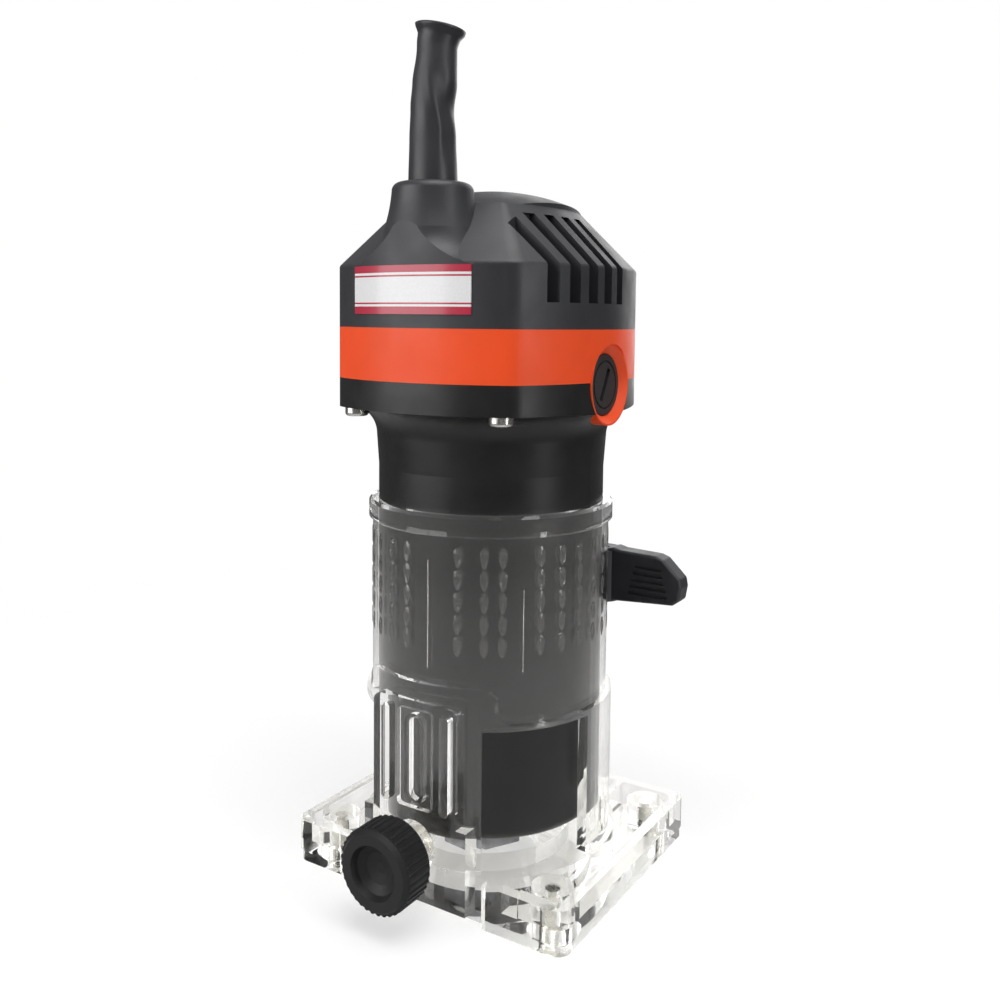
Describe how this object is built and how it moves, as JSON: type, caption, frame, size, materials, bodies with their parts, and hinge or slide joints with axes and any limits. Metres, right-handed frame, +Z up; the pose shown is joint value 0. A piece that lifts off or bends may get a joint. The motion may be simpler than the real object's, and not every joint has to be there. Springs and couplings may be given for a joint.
{
  "type": "trim router",
  "caption": "Compact corded trim router: motor in a clear plastic base sleeve with a cam lever clamp, square base plate, guide pad with thumb knob, vented head and cord turret.",
  "frame": {"origin": "on the spindle axis, in the bottom plane of the base: the centre of the bit opening's lower edge", "axes": "+Z up along the spindle, -Y to the front with the guide pad and thumb knob, brush caps on +X and -X"},
  "size_m": [0.0898, 0.1007, 0.2342],
  "materials": {
    "clear_plastic": "clear moulded plastic, polished",
    "black_plastic": "fine textured moulding",
    "orange_plastic": "satin moulding",
    "black_rubber": "soft matt rubber",
    "brush_cap_black": "moulded phenolic",
    "label": "printed film in plain stripes",
    "zinc_steel": "zinc plated",
    "dark_steel": "black oxide",
    "ground_steel": "ground",
    "laminations": "stacked sheets",
    "copper": "enamelled or turned copper",
    "brass": "turned",
    "carbon": "pressed carbon",
    "felt": "felt",
    "white_plastic": "moulded",
    "red_lead": "insulated wire",
    "black_lead": "insulated wire",
    "fan_plastic": "moulding"
  },
  "bodies": {
    "base": {"base_housing": "clear_plastic", "base_plate": "clear_plastic", "base_plate_screws": "zinc_steel", "clamp_bolt": "zinc_steel", "clamp_nut": "zinc_steel", "cam_pad": "zinc_steel", "guide_insert": "brass"},
    "clamp_lever": {"clamp_lever": "black_plastic", "lever_pin": "ground_steel"},
    "guide_washer": {"guide_washer": "zinc_steel"},
    "guide_knob": {"guide_knob": "black_plastic", "knob_stud": "zinc_steel"},
    "motor": {"motor_housing": "black_plastic", "brush_ring": "orange_plastic", "top_cap": "black_plastic", "cord_guard": "black_rubber", "cord_clamp": "black_plastic", "cord_clamp_screws": "zinc_steel", "name_label": "label", "housing_screws": "zinc_steel", "brush_cap_right": "brush_cap_black", "brush_cap_left": "brush_cap_black", "brush_holder_right": "brass", "brush_holder_left": "brass", "carbon_brush_right": "carbon", "carbon_brush_left": "carbon", "brush_spring_right": "ground_steel", "brush_spring_left": "ground_steel", "stator_core": "laminations", "field_coils": "copper", "stator_clip": "ground_steel", "air_baffle": "fan_plastic", "lower_bearing_outer": "ground_steel", "upper_bearing_outer": "ground_steel", "bearing_bush": "black_rubber", "bearing_retainer": "zinc_steel", "retainer_screws": "zinc_steel", "dust_seal": "felt", "switch_body": "black_plastic", "terminal_block": "white_plastic", "capacitor": "white_plastic", "lead_red": "red_lead", "lead_black": "black_lead"},
    "rotor": {"spindle_shaft": "ground_steel", "armature_core": "laminations", "armature_windings": "copper", "commutator": "copper", "cooling_fan": "fan_plastic", "lower_bearing_inner": "ground_steel", "upper_bearing_inner": "ground_steel", "lower_bearing_balls": "ground_steel", "upper_bearing_balls": "ground_steel"},
    "collet": {"collet": "ground_steel"},
    "collet_nut": {"collet_nut": "dark_steel"},
    "switch_rocker": {"switch_rocker": "black_plastic"}
  },
  "joints": [
    {"name": "depth_slide", "type": "slide", "parent": "base", "child": "motor", "axis": [0, 0, 1], "range_m": [-0.0055, 0.035]},
    {"name": "spindle_spin", "type": "hinge", "parent": "motor", "child": "rotor", "pos_m": [0, 0, 0.1], "axis": [0, 0, 1], "continuous": true},
    {"name": "collet_slide", "type": "slide", "parent": "rotor", "child": "collet", "axis": [0, 0, -1], "range_m": [0, 0.00251]},
    {"name": "collet_nut_turn", "type": "hinge", "parent": "collet", "child": "collet_nut", "pos_m": [0, 0, 0.01], "axis": [0, 0, -1], "range_deg": [0, 720]},
    {"name": "clamp_lever_turn", "type": "hinge", "parent": "base", "child": "clamp_lever", "pos_m": [0.0166, 0.0405, 0.0785], "axis": [0, 0, 1], "range_deg": [0, 100]},
    {"name": "thumb_screw_travel", "type": "slide", "parent": "base", "child": "guide_washer", "axis": [0, 1, 0], "range_m": [-0.00301, 0.00101]},
    {"name": "guide_knob_turn", "type": "hinge", "parent": "guide_washer", "child": "guide_knob", "pos_m": [0, -0.05, 0.0178], "axis": [0, 1, 0], "range_deg": [-1080, 360]},
    {"name": "switch_rocker_turn", "type": "hinge", "parent": "motor", "child": "switch_rocker", "pos_m": [0, 0.0386, 0.1644], "axis": [0, 0, -1], "range_deg": [0, 24]}
  ],
  "couplings": [
    {"joint": "collet_slide", "follows": "collet_nut_turn", "m_per_rad": 0.00019894},
    {"joint": "thumb_screw_travel", "follows": "guide_knob_turn", "m_per_rad": 0.00015915}
  ]
}
